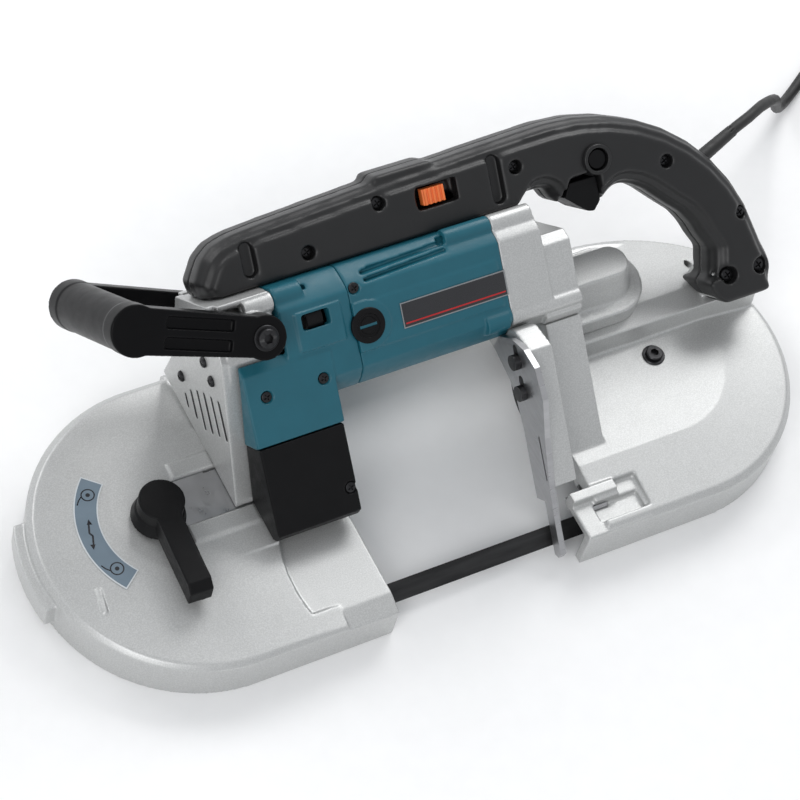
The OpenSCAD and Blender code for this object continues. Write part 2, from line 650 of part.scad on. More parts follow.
// Outline of the handle in the plane of the cut, from the left end over the top
outer = concat(
  [[-128.5, 153.2], [-130.6, 164], [-122.4, 176.8], [-114.5, 182.6], [-103.3, 185.6], [-87, 187]],
  [[-46, 189.3], [0, 191.7], [51, 193.6], [90, 195]],
  [for (a = [90:-9:9]) [115 + 139 * cos(a), 69 + 126.5 * sin(a)]],
  [[254.5, 80], [257.5, 72], [259, 64.5], [256, 57]]);
foot = [[251.5, 51.2], [248, 50], [217, 50], [211, 56], [207, 66]];
opening = [[212.4, 70], [215.6, 86.5], [210.5, 95.5], [206.3, 105.4], [200.4, 114.4], [190.8, 123.1],
  [176.9, 136.5], [169, 142], [161, 145], [156.5, 145.4], [151.2, 143.2], [146, 139], [141, 138.5],
  [125.5, 142.4], [115, 144.9], [110.9, 149.3], [108.5, 155], [105.3, 157.3], [96, 157.6]];
// A run of outline points moved to its right by c
function inset(pts, c) = let (n = len(pts) - 1) [for (i = [0:n]) let (
    d = pts[min(i + 1, n)] - pts[max(i - 1, 0)], u = d / norm(d)) pts[i] + c * [u[1], -u[0]]];
function handle_outline(c) = concat([[outer[0][0] + c, outer[0][1]]],
  inset([for (i = [1:len(outer) - 1]) outer[i]], c), foot, inset(opening, c), [[88, 157.6], [84, 153.2]]);
// Three layers give the edges their rounding
handle_layers = [[8, 0], [3, 4], [0, 9]];
module handle_shape(w0, w1) for (k = handle_layers)
  translate([0, 0, w0 + (w0 < handle_mid ? k[1] : 0)]) linear_extrude(w1 - w0 - k[1])
    polygon(handle_outline(k[0]));
handle_screw_at = [[-59, 164], [-8, 180], [86, 177], [191, 152], [239, 105]];
rib_at = [[-97, 160, 181], [72, 158, 188]];
lock_at = [141.6, 167];
trigger_half = 15;
module handle_cuts() {
  // Cavities for the switch and the wiring, and the slot of the trigger
  box([98, 161, handle_mid - 13], [178, 178, handle_mid + 13]);
  translate([0, 0, handle_mid - trigger_half - 0.4]) linear_extrude(60)
    polygon([[116.5, 140], [116.5, 148], [122, 159.6], [142.6, 159.6], [143, 136], [130, 130]]);
  box([124, 150, handle_mid - 9], [140, 163, handle_mid + 9]);
  box([-90, 158, handle_mid - 12], [70, 172, handle_mid + 12]);
  for (p = handle_screw_at) translate([p[0], p[1], -50]) cylinder(r = screw_d / 2 + 0.1, h = 100);
  for (x = foot_screw_x) translate([x, foot_screw_v, -20]) cylinder(r = 2.2, h = 90);
  // Lug of the frame inside the foot
  rotate([-45, 0, 0]) along_x(213.7, 252.3, [[24.6, 20], [24.6, 49.9], [11.5, 63],
    [24, 75.5], [42.4, 64.2], [60, 44], [60, 20]]);
  rotate([-45, 0, 0]) box([120, 0, 0], [300, 120, ridge_h + 0.1]);
}
module handle_front() color([0.13, 0.13, 0.13]) tilt() difference() {
  handle_shape(handle_mid, handle_mid + handle_w / 2);
  handle_cuts();
  for (p = handle_screw_at) translate([p[0], p[1], handle_mid + handle_w / 2 - 3]) cylinder(r = 4.2, h = 10);
  for (r = rib_at) translate([r[0] - 4, r[1], handle_mid + handle_w / 2 - 4]) cube([8, r[2] - r[1], 10]);
  // Recesses for the foot screws, the lock button and the lamp switch
  for (x = foot_screw_x) translate([x, foot_screw_v, foot_screw_w]) cylinder(r = 5, h = 20);
  translate([lock_at[0], lock_at[1], handle_mid]) cylinder(r = 6.05, h = 40);
  box([17, 169, handle_mid + 10], [43, 182, handle_mid + 40]);
}
module handle_rear() color([0.13, 0.13, 0.13]) tilt() difference() {
  handle_shape(handle_mid - handle_w / 2, handle_mid);
  handle_cuts();
  // Seat of the cord guard
  guard_place() translate([0, 0, -6]) cylinder(r = guard_r + 0.3, h = 30);
}
module handle_screws() color("dimgray") tilt() {
  for (p = handle_screw_at) translate([p[0], p[1], handle_mid - 12]) {
    cylinder(r = screw_d / 2, h = handle_w / 2 + 9);
    translate([0, 0, handle_w / 2 + 9]) cylinder(r = 3.6, h = 2.4);
  }
  for (x = foot_screw_x) translate([x, foot_screw_v, foot_screw_w]) {
    translate([0, 0, -28]) cylinder(r = 2, h = 28);
    cylinder(r = 4, h = 3);
  }
}
foot_screw_w = 37;
module switch_body() color("black") tilt() box([102, 164, handle_mid - 12], [172, 177, handle_mid + 11]);
module trigger() color("black") tilt() {
  translate([0, 0, handle_mid - trigger_half]) linear_extrude(2 * trigger_half)
    polygon([[118, 147.5], [122.6, 156], [141.8, 156], [142.2, 140], [136.8, 134.4], [132.4, 135.4]]);
  box([126, 155, handle_mid - 8], [138, 160.2, handle_mid + 8]);
}
module lock_button() color("black") tilt() translate([lock_at[0], lock_at[1], handle_mid + 15.5])
  cylinder(r = 6, h = 5.5);
module lamp_switch() color("darkorange") tilt() {
  box([21, 170.5, handle_mid + 13.5], [36, 180.5, handle_mid + 18.5]);
  for (i = [0:4]) box([22 + i * 3, 170.5, handle_mid + 18.5], [23.5 + i * 3, 180.5, handle_mid + 19.8]);
}

// ---------------------------------------------------------------- front handle
bar_at = [-186, 159];
pivot_at = [-110, 132];
arm_t = 13;
bar_w0 = motor_w + 1 - grip_l / 2;
module arm(w0) {
  dir = pivot_at - bar_at;
  translate([bar_at[0], bar_at[1], w0]) rotate(atan2(dir[1], dir[0])) linear_extrude(arm_t) {
    circle(r = grip_d / 2);
    translate([norm(dir), 0]) circle(r = 13.5);
    polygon([[0, -grip_d / 2 + 1.5], [norm(dir), -12], [norm(dir), 12], [0, grip_d / 2 - 1.5]]);
  }
}
module front_handle() color([0.1, 0.1, 0.1]) tilt() difference() {
  union() {
    translate([bar_at[0], bar_at[1], bar_w0]) cylinder(r = grip_d / 2 - 0.5, h = grip_l);
    arm(bar_w0 + grip_l - arm_t + 5);
    arm(bar_w0 - 5);
  }
  for (w = [bar_w0 + grip_l, bar_w0]) translate([pivot_at[0], pivot_at[1], w - 10]) cylinder(r = 4.05, h = 20);
  // Channels of the near arm
  dir = pivot_at - bar_at;
  for (s = [-1, 1]) translate([bar_at[0], bar_at[1], bar_w0 + grip_l + 2]) rotate(atan2(dir[1], dir[0]))
    translate([18, s * 6 - 3.5, 0]) cube([42, 7, 10]);
}
module front_handle_bolts() color("dimgray") tilt() {
  for (k = [[bar_w0 + grip_l + 5, 1], [bar_w0 - 5, -1]]) translate([pivot_at[0], pivot_at[1], k[0]])
    mirror([0, 0, k[1] < 0 ? 1 : 0]) {
      translate([0, 0, -26]) cylinder(r = 4, h = 26);
      cylinder(r = 6.5, h = 4);
    }
}

// ---------------------------------------------------------------- cord
guard_l = 30;
guard_r = 4.6;
// Where the guard leaves the arc of the handle, and the level direction it takes
guard_from = [233, 87.6, 113.5];
guard_dir = [0.933, 0.36, 0];
module guard_place() rotate([-45, 0, 0]) translate(guard_from)
  rotate([0, 90, atan2(guard_dir[1], guard_dir[0])]) children();
module cord_guard() color([0.1, 0.1, 0.1]) tilt() guard_place() difference() {
  union() {
    translate([0, 0, 2.4]) cylinder(r1 = guard_r, r2 = guard_r - 0.5, h = guard_l - 2.4);
    translate([0, 0, -5]) cylinder(r = guard_r, h = 7.5);
  }
  translate([0, 0, guard_l - 6]) cylinder(r = cord_d / 2 + 0.01, h = 10);
}
// Middle line of the cord, from the guard down to the floor and on to the coil
route = [[260, 74.7, 113.5], [268, 77.8, 113.5], [282, 83, 112.3], [298, 91, 107], [312, 98, 98], [325, 106, 85],
  [337, 114, 69], [348, 122, 51], [359, 130, 34], [371, 138, 19], [385, 147, 8.5], [401, 157, 4.2],
  [417, 167, 3.9], [432, 175.8, 3.9]];
module cord() color([0.1, 0.1, 0.1]) tube(route, cord_d / 2, 10);
function unit(v) = v / norm(v);
module tube(path, r, sides) {
  n = len(path);
  rings = [for (i = [0:n - 1]) let (
      t = unit(path[min(i + 1, n - 1)] - path[max(i - 1, 0)]),
      u = unit(cross(t, [0, 0, 1])), w = cross(t, u))
    for (k = [0:sides - 1]) path[i] + r * (cos(k * 360 / sides) * u + sin(k * 360 / sides) * w)];
  polyhedron(points = rings, faces = concat(
    [[for (k = [0:sides - 1]) k]],
    [for (i = [0:n - 2]) for (k = [0:sides - 1]) let (m = (k + 1) % sides)
      [i * sides + k, (i + 1) * sides + k, (i + 1) * sides + m, i * sides + m]],
    [[for (k = [sides - 1:-1:0]) (n - 1) * sides + k]]));
}
coil_at = [474, 137];
module cord_coil() color([0.1, 0.1, 0.1]) translate([coil_at[0], coil_at[1], 0.1])
  rotate_extrude() translate([coil_d / 2 - 2 * cord_d, 0]) square([4 * cord_d, 2 * cord_d + 1]);
// The plug lies on the ring of the coil
module plug() color([0.1, 0.1, 0.1]) translate([coil_at[0], coil_at[1] - 46, 2 * cord_d + 1.1]) {
  box([-14, -13, 0], [24, 13, 19]);
  for (y = [-6.4, 6.4]) box([-32, y - 3.2, 8.7], [-13.9, y + 3.2, 10.3]);
}

main_frame();
left_bracket();
bracket_screws();
gear_housing();
gear_cover();
stop_arm();
stopper_plate();
stopper_screws();
housing_bolt();
blade();
idler_wheel();
idler_tyre();
drive_wheel();
drive_tyre();
idler_axle();
idler_bearings();
drive_shaft();
drive_bearings();
bearing_plate();
worm_wheel();
worm_shaft();
intermediate_shaft();
tension_carriage();
tension_spring();
cam_shaft();
tension_lever();
tension_label();
left_guide();
right_guide();
left_roller_outer();
left_roller_inner();
left_roller_back();
right_roller_outer();
right_roller_inner();
right_roller_back();
motor_housing();
rear_cover();
stator();
armature();
motor_bearings();
brushes();
brush_caps();
cover_screws();
nameplate();
speed_dial();
lamp_housing();
lamp();
handle_front();
handle_rear();
handle_screws();
switch_body();
trigger();
lock_button();
lamp_switch();
front_handle();
front_handle_bolts();
cord_guard();
cord();
cord_coil();
plug();
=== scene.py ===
import math

import bmesh
import bpy
from mathutils import Matrix, Vector


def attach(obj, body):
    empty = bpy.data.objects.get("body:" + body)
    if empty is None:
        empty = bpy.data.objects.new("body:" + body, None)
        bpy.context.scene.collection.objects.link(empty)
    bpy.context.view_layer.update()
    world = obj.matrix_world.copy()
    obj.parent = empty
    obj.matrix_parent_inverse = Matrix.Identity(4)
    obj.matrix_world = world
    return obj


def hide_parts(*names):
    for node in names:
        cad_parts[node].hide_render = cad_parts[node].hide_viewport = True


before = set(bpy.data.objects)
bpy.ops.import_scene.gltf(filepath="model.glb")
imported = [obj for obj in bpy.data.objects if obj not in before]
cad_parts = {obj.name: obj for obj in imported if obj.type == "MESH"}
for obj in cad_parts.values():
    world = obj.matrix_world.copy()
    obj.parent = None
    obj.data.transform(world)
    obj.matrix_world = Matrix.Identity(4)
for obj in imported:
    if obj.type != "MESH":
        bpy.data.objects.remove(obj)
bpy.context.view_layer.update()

MM = 0.001
ROOT = "frame"
SHIFT = Vector((3.5, -22.0, 0.0))
DIAGONAL = math.sqrt(0.5)
W = Vector((0, -DIAGONAL, DIAGONAL))
BEVEL_FROM = 0.6
SHARP_FROM = math.radians(32)
SHANK = 4.0
CROSS_TURN = 25


def row(x, y, z):
    """A point of the design frame, in mm, as metres in the row frame."""
    return (Vector((x, y, z)) + SHIFT) * MM


def tilted(x, v, w):
    """A point of the frame tilted by 45 degrees about X, as metres in the row frame."""
    return row(x, (v - w) * DIAGONAL, (v + w) * DIAGONAL)


TILT = Matrix(((1, 0, 0, SHIFT.x * MM), (0, DIAGONAL, -DIAGONAL, SHIFT.y * MM),
               (0, DIAGONAL, DIAGONAL, 0), (0, 0, 0, 1)))
LAY = Matrix.Translation(SHIFT * MM)

# ------------------------------------------------------------------ camera
camera = bpy.data.objects.new("camera", bpy.data.cameras.new("camera"))
bpy.context.collection.objects.link(camera)
camera.data.lens = 132.34
camera.data.sensor_width = 36.0
camera.data.clip_start = 0.05
camera.matrix_world = Matrix((
    (0.87431185, 0.29526518, -0.38522365, -0.704278),
    (-0.45059085, 0.78877556, -0.4180921, -0.756826),
    (0.18040695, 0.53912113, 0.82267961, 1.540773),
    (0, 0, 0, 1)))
bpy.context.scene.camera = camera
bpy.context.scene.view_settings.view_transform = "Standard"


# ------------------------------------------------------------------ materials
GRAIN_DEPTH = 0.0002


def surface(name, color, rough=0.5, metallic=0.0, mottle=0.08, mottle_scale=60.0, grain=0.06,
            grain_scale=1800.0, rough_spread=0.08, speck=0.0, edge_wear_and_sheen=None, edge_wear_and_sheen_amount=0.0,
            coat=0.0, coat_rough=0.2, stretch=(1, 1, 1), specular=0.5):
    """A procedural finish: colour that varies, roughness that varies, a grain in the bump, and edges
    lightened both as wear and as painted highlight.
    """
    m = bpy.data.materials.new(name)
    m.use_nodes = True
    nodes, links = m.node_tree.nodes, m.node_tree.links
    shader = nodes["Principled BSDF"]
    shader.inputs["Metallic"].default_value = metallic
    shader.inputs["Coat Weight"].default_value = coat
    shader.inputs["Coat Roughness"].default_value = coat_rough
    shader.inputs["Specular IOR Level"].default_value = specular
    place = nodes.new("ShaderNodeTexCoord")
    scale = nodes.new("ShaderNodeMapping")
    scale.inputs["Scale"].default_value = stretch
    links.new(place.outputs["Object"], scale.inputs["Vector"])

    def noise(size, detail=4.0, roughness=0.55):
        n = nodes.new("ShaderNodeTexNoise")
        n.inputs["Scale"].default_value = size
        n.inputs["Detail"].default_value = detail
        n.inputs["Roughness"].default_value = roughness
        links.new(scale.outputs["Vector"], n.inputs["Vector"])
        return n.outputs["Fac"]

    def spread(value, low, high, start=0.3, end=0.7):
        r = nodes.new("ShaderNodeMapRange")
        for socket, number in zip(("From Min", "From Max", "To Min", "To Max"), (start, end, low, high)):
            r.inputs[socket].default_value = number
        links.new(value, r.inputs["Value"])
        return r.outputs["Result"]

    def mixed(amount, one, two):
        x = nodes.new("ShaderNodeMix")
        x.data_type = "RGBA"
        links.new(amount, x.inputs["Factor"])
        for socket, value in ((x.inputs[6], one), (x.inputs[7], two)):
            if isinstance(value, (tuple, list)):
                socket.default_value = (*value, 1)
            else:
                links.new(value, socket)
        return x.outputs[2]

    tone = noise(mottle_scale)
    darker, lighter = (tuple(c * (1 + change) for c in color) for change in (-mottle, mottle))
    base = mixed(spread(tone, 0, 1), darker, lighter)
    if speck:
        base = mixed(spread(noise(grain_scale * 0.8, 2.0), 0, 1, 0.42, 0.62), base,
                     tuple(min(1, c * (1 + speck)) for c in color))
    # Convex edges, found by pointiness, are lightened: partly wear, partly a painted highlight along the
    # edges.
    if edge_wear_and_sheen:
        geometry = nodes.new("ShaderNodeNewGeometry")
        edge = spread(geometry.outputs["Pointiness"], 0, edge_wear_and_sheen_amount, 0.55, 0.68)
        patch = nodes.new("ShaderNodeMath")
        patch.operation = "MULTIPLY"
        links.new(edge, patch.inputs[0])
        links.new(spread(noise(90, 6.0), 0.2, 1.0, 0.4, 0.65), patch.inputs[1])
        base = mixed(patch.outputs[0], base, edge_wear_and_sheen)
    links.new(base, shader.inputs["Base Color"])
    links.new(spread(noise(mottle_scale * 2.3, 5.0), rough - rough_spread, rough + rough_spread),
              shader.inputs["Roughness"])
    if grain:
        bump = nodes.new("ShaderNodeBump")
        bump.inputs["Strength"].default_value = grain
        bump.inputs["Distance"].default_value = GRAIN_DEPTH
        links.new(noise(grain_scale, 3.0), bump.inputs["Height"])
        links.new(bump.outputs["Normal"], shader.inputs["Normal"])
    return m


silver = surface("silver_paint", (0.5, 0.505, 0.5), 0.42, 0.55, mottle=0.025, grain=0.3, grain_scale=1500,
                 rough_spread=0.015, speck=0.16, edge_wear_and_sheen=(0.78, 0.78, 0.78), edge_wear_and_sheen_amount=0.35)
teal = surface("teal_plastic", (0.011, 0.105, 0.145), 0.38, mottle=0.05, grain=0.25, grain_scale=2400,
               edge_wear_and_sheen=(0.04, 0.17, 0.22), edge_wear_and_sheen_amount=0.3, specular=0.42)
black = surface("black_plastic", (0.004, 0.004, 0.0045), 0.42, mottle=0.12, grain=0.4, grain_scale=1900,
                edge_wear_and_sheen=(0.02, 0.02, 0.021), edge_wear_and_sheen_amount=0.2, specular=0.16)
grip = surface("grip_plastic", (0.004, 0.004, 0.0045), 0.36, mottle=0.12, grain=0.12, grain_scale=2200,
               rough_spread=0.04, edge_wear_and_sheen=(0.012, 0.012, 0.013), edge_wear_and_sheen_amount=0.15, specular=0.1)
shell = surface("handle_plastic", (0.008, 0.008, 0.0085), 0.4, mottle=0.12, grain=0.3, grain_scale=1900,
                rough_spread=0.03, edge_wear_and_sheen=(0.03, 0.03, 0.031), edge_wear_and_sheen_amount=0.2, specular=0.5)
rubber = surface("cord_rubber", (0.011, 0.011, 0.011), 0.55, mottle=0.15, grain=0.3, grain_scale=1500,
                 edge_wear_and_sheen=(0.04, 0.04, 0.04), edge_wear_and_sheen_amount=0.4)
tyre = surface("tyre_rubber", (0.02, 0.02, 0.02), 0.7, mottle=0.2, grain=0.5, grain_scale=1200)
steel = surface("machined_steel", (0.48, 0.48, 0.49), 0.34, 1.0, mottle=0.06, grain=0.15, grain_scale=900,
                stretch=(1, 1, 8), edge_wear_and_sheen=(0.6, 0.6, 0.6), edge_wear_and_sheen_amount=0.3)
wheel = surface("turned_aluminium", (0.58, 0.59, 0.6), 0.38, 1.0, mottle=0.05, grain=0.2, grain_scale=700,
                stretch=(1, 1, 10))
screw = surface("black_screws", (0.03, 0.03, 0.032), 0.34, 0.8, mottle=0.15, grain=0.2, grain_scale=1600,
                edge_wear_and_sheen=(0.2, 0.2, 0.2), edge_wear_and_sheen_amount=0.5)
blade_steel = surface("blade_steel", (0.009, 0.009, 0.01), 0.42, 0.5, mottle=0.25, mottle_scale=120,
                      grain=0.2, grain_scale=1200, stretch=(0.15, 1, 1), edge_wear_and_sheen=(0.16, 0.16, 0.16),
                      edge_wear_and_sheen_amount=0.5)
bronze = surface("cut_bronze", (0.42, 0.24, 0.08), 0.36, 1.0, mottle=0.1, grain=0.2, grain_scale=1000)
windings = surface("motor_laminations", (0.16, 0.11, 0.08), 0.45, 0.6, mottle=0.3, mottle_scale=200,
                   grain=0.4, grain_scale=900, stretch=(6, 1, 1))
label_blue = surface("label_film", (0.15, 0.2, 0.245), 0.35, mottle=0.06, grain=0.08, grain_scale=2500)
label_edge = surface("label_edge", (0.6, 0.63, 0.65), 0.4, mottle=0.05, grain=0.05, grain_scale=2500)
plate_dark = surface("nameplate_film", (0.012, 0.012, 0.015), 0.28, mottle=0.1, grain=0.08, grain_scale=2500,
                     coat=0.3, coat_rough=0.15)
plate_red = surface("nameplate_red", (0.45, 0.012, 0.015), 0.3, mottle=0.08, grain=0.06, grain_scale=2500)
plate_grey = surface("nameplate_rim", (0.3, 0.31, 0.32), 0.35, 0.6, mottle=0.06, grain=0.08, grain_scale=2500)
orange = surface("orange_plastic", (0.85, 0.19, 0.045), 0.36, mottle=0.06, grain=0.15, grain_scale=2200,
                 edge_wear_and_sheen=(0.85, 0.3, 0.1), edge_wear_and_sheen_amount=0.4)
lens = surface("lamp_lens", (0.75, 0.76, 0.72), 0.12, mottle=0.04, grain=0.1, grain_scale=500, coat=0.6,
               coat_rough=0.05)
brass = surface("plug_pins", (0.55, 0.42, 0.16), 0.3, 1.0, mottle=0.06, grain=0.15, grain_scale=1200)


# ------------------------------------------------------------------ building
def linked(name, mesh, material, body=ROOT, replaced=(), smooth=True):
    """A finished mesh as a piece of the object."""
    o = bpy.data.objects.new(name, mesh)
    bpy.context.collection.objects.link(o)
    mesh.materials.clear()
    mesh.materials.append(material)
    mesh.polygons.foreach_set("use_smooth", [smooth] * len(mesh.polygons))
    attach(o, body)
    if replaced:
        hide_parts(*replaced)
    return o


def applied(mesh, steps):
    """The mesh after a list of (modifier kind, settings)."""
    o = bpy.data.objects.new("work", mesh)
    bpy.context.collection.objects.link(o)
    for kind, settings in steps:
        modifier = o.modifiers.new(kind, kind)
        for key, value in settings.items():
            setattr(modifier, key, value)
    bpy.context.view_layer.update()
    made = bpy.data.meshes.new_from_object(o.evaluated_get(bpy.context.evaluated_depsgraph_get()))
    bpy.data.objects.remove(o)
    return made


def cad_mesh(*names):
    """The meshes of CAD nodes, joined and welded, in the row frame."""
    bm = bmesh.new()
    for name in names:
        bm.from_mesh(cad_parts[name].data)
    bmesh.ops.remove_doubles(bm, verts=bm.verts, dist=1e-6)
    mesh = bpy.data.meshes.new(names[0] + "_copy")
    bm.to_mesh(mesh)
    bm.free()
    return mesh


def mesh_of(name, maker, place=Matrix.Identity(4)):
    """The mesh that maker(bm) makes in mm, scaled to metres and put in place."""
    bm = bmesh.new()
    maker(bm)
    bmesh.ops.scale(bm, vec=(MM, MM, MM), verts=bm.verts)
    bmesh.ops.transform(bm, matrix=place, verts=bm.verts)
    bmesh.ops.recalc_face_normals(bm, faces=bm.faces)
    mesh = bpy.data.meshes.new(name)
    bm.to_mesh(mesh)
    bm.free()
    return mesh


def solid(maker, place):
    """A hidden helper object, used to cut or add."""
    o = bpy.data.objects.new("tool", mesh_of("tool", maker, place))
    bpy.context.collection.objects.link(o)
    o.hide_render = True
    return o


def prism(outline, low, high):
    """Adds a prism over an outline in the first two axes."""
    def make(bm):
        bottom = [bm.verts.new((x, y, low)) for x, y in outline]
        top = [bm.verts.new((x, y, high)) for x, y in outline]
        count = len(outline)
        bm.faces.new(bottom[::-1])
        bm.faces.new(top)
        for i in range(count):
            j = (i + 1) % count
            bm.faces.new((bottom[i], bottom[j], top[j], top[i]))
    return make


def cast(name, nodes, material, voxel, soften, body=ROOT, cut=(), add=(), keep=0.35,
         start=None):
    """CAD nodes as one moulded or cast piece: remeshed finely, with every edge rounded by smoothing.

    voxel is in mm, soften counts smoothing rounds and keep is the share of faces left in the end.
    """
    steps = []
    for tool, operation in [(t, "DIFFERENCE") for t in cut] + [(t, "UNION") for t in add]:
        steps.append(("BOOLEAN", {"object": tool, "operation": operation, "solver": "EXACT"}))
    steps.append(("REMESH", {"mode": "VOXEL", "voxel_size": voxel * MM, "use_smooth_shade": True}))
    steps.append(("SMOOTH", {"factor": 0.5, "iterations": soften}))
    steps.append(("DECIMATE", {"ratio": keep}))
    mesh = applied(start or cad_mesh(*nodes), steps)
    for tool in (*cut, *add):
        bpy.data.objects.remove(tool)
    return linked(name, mesh, material, body, nodes)


def half(mesh, point, normal):
    """What is left of a closed mesh on the far side of a plane, closed again."""
    bm = bmesh.new()
    bm.from_mesh(mesh)
    made = bmesh.ops.bisect_plane(bm, geom=[*bm.verts, *bm.edges, *bm.faces], plane_co=point,
                                  plane_no=normal, clear_inner=True)
    rim = [e for e in made["geom_cut"] if isinstance(e, bmesh.types.BMEdge)]
    bmesh.ops.triangle_fill(bm, edges=rim, use_beauty=True)
    bmesh.ops.recalc_face_normals(bm, faces=bm.faces)
    out = bpy.data.meshes.new("half")
    bm.to_mesh(out)
    bm.free()
    return out


def disc(x, y, radius, low, high, sides=40, top=None):
    """Adds a cylinder, or a cone where the top radius differs."""
    def make(bm):
        rings = []
        for z, r in ((low, radius), (high, radius if top is None else top)):
            rings.append([bm.verts.new((x + r * math.cos(a), y + r * math.sin(a), z))
                          for a in (2 * math.pi * k / sides for k in range(sides))])
        for k in range(sides):
            j = (k + 1) % sides
            bm.faces.new((rings[0][k], rings[0][j], rings[1][j], rings[1][k]))
        bm.faces.new(rings[0][::-1])
        bm.faces.new(rings[1])
    return make


def bar(low, high):
    """Adds a box between two corners."""
    (x0, y0, z0), (x1, y1, z1) = low, high
    return prism([(x0, y0), (x1, y0), (x1, y1), (x0, y1)], z0, z1)


def slot_shape(x0, y0, x1, y1, radius, low, high):
    """Adds a slot with round ends from one point to another."""
    a = math.atan2(y1 - y0, x1 - x0)
    outline = []
    for cx, cy, turn in ((x1, y1, -90), (x0, y0, 90)):
        for k in range(13):
            t = a + math.radians(turn + 15 * k)
            outline.append((cx + radius * math.cos(t), cy + radius * math.sin(t)))
    return prism(outline, low, high)


def several(*makers):
    """Adds what each of the makers adds."""
    def make(bm):
        for one in makers:
            one(bm)
    return make


def turned(profile, sides=40):
    """Adds a closed body turned about Z from (radius, height) points that start and end on the axis."""
    def make(bm):
        rings = []
        for r, z in profile:
            if r == 0:
                rings.append([bm.verts.new((0, 0, z))])
            else:
                rings.append([bm.verts.new((r * math.cos(a), r * math.sin(a), z))
                              for a in (2 * math.pi * k / sides for k in range(sides))])
        for one, two in zip(rings, rings[1:]):
            for k in range(sides):
                j = (k + 1) % sides
                if len(one) == 1:
                    bm.faces.new((one[0], two[j], two[k]))
                elif len(two) == 1:
                    bm.faces.new((one[k], one[j], two[0]))
                else:
                    bm.faces.new((one[k], one[j], two[j], two[k]))
    return make


def piece(name, maker, place, material, body=ROOT, replaced=(), cut=(), bevel=0.0):
    """A piece built from a maker in mm, cut by others, with its edges rounded by bevel mm."""
    cutters = [solid(c, place) for c in cut]
    steps = [("BOOLEAN", {"object": c, "operation": "DIFFERENCE", "solver": "EXACT"}) for c in cutters]
    if bevel:
        steps.append(("BEVEL", {"width": bevel * MM, "segments": 3, "limit_method": "ANGLE",
                                "angle_limit": BEVEL_FROM}))
    mesh = applied(mesh_of("tool", maker, place), steps)
    for c in cutters:
        bpy.data.objects.remove(c)
    made = linked(name, mesh, material, body, replaced)
    made.data.set_sharp_from_angle(angle=SHARP_FROM)


def axis_place(at, direction):
    """A placement at a point in metres, whose Z looks along direction."""
    return Matrix.Translation(at) @ Vector(direction).to_track_quat("Z", "Y").to_matrix().to_4x4()


def pan_screw(name, at, direction, radius, height):
    """A screw head with a cross recess, on a short shank."""
    profile = [(0, -SHANK), (radius * 0.5, -SHANK), (radius * 0.5, 0), (radius, 0), (radius, height * 0.45),
               (radius * 0.92, height * 0.72), (radius * 0.7, height * 0.93), (radius * 0.4, height),
               (0, height)]
    cross = []
    for turn in (0, 90):
        a = math.radians(turn + CROSS_TURN)
        c, s = radius * 0.5 * math.cos(a), radius * 0.5 * math.sin(a)
        cross.append(slot_shape(-c, -s, c, s, radius * 0.13, height * 0.35, height + 1))
    piece(name, turned(profile), axis_place(at, direction), screw, cut=cross)


def screws(stem, spots, direction, radius, height, replaced=None):
    """A group of like screws at points (x, v, w) of the tilted frame."""
    for number, spot in enumerate(spots):
        pan_screw(f"{stem}_{number + 1}", tilted(*spot), direction, radius, height)
    if replaced:
        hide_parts(replaced)


def flange_bolt(name, at, direction, flange, shank, replaced=()):
    """A socket head bolt with a flange under its head."""
    head = flange - 1.9
    profile = [(0, -shank), (3.9, -shank), (3.9, 0), (flange, 0), (flange, 0.9), (flange - 0.4, 1.3),
               (head, 1.3), (head, 3.3), (head - 0.6, 3.9), (0, 3.9)]
    piece(name, turned(profile), axis_place(at, direction), screw, replaced=replaced,
          cut=[disc(0, 0, head * 0.52, 1.3, 6, sides=6)])


# ------------------------------------------------------------------ cord, coil and plug
CORD_D = 7.5
ROUTE = [(260, 74.7, 113.5), (268, 77.8, 113.5), (282, 83, 112.3), (298, 91, 107), (312, 98, 98),
         (325, 106, 85), (337, 114, 69), (348, 122, 51), (359, 130, 34), (371, 138, 19), (385, 147, 8.5),
         (401, 157, 4.2), (417, 167, 3.9), (432, 175.8, 3.9)]
COIL = (474.0, 137.0)
COIL_START = (447.8, 184.6)
COIL_RADII = (54.25, 46.75, 39.25, 31.75)
COIL_STEPS = 24
CROSSOVER = math.radians(60)
LAST_TURN = 0.34
TUCK = 2.9
LIFT_STEPS = 12
LIFT_PULL = 1.05
FLOOR_Z = 4.1
PLUG_AT = Vector((COIL[0], COIL[1] - 46, 25.6))
TAIL_X = 28


def hermite(first, tangent, last, arrival, t):
    """A point of a curve that leaves first along tangent and meets last along arrival."""
    return (first * (2 * t**3 - 3 * t**2 + 1) + tangent * (t**3 - 2 * t**2 + t)
            + last * (-2 * t**3 + 3 * t**2) + arrival * (t**3 - t**2))


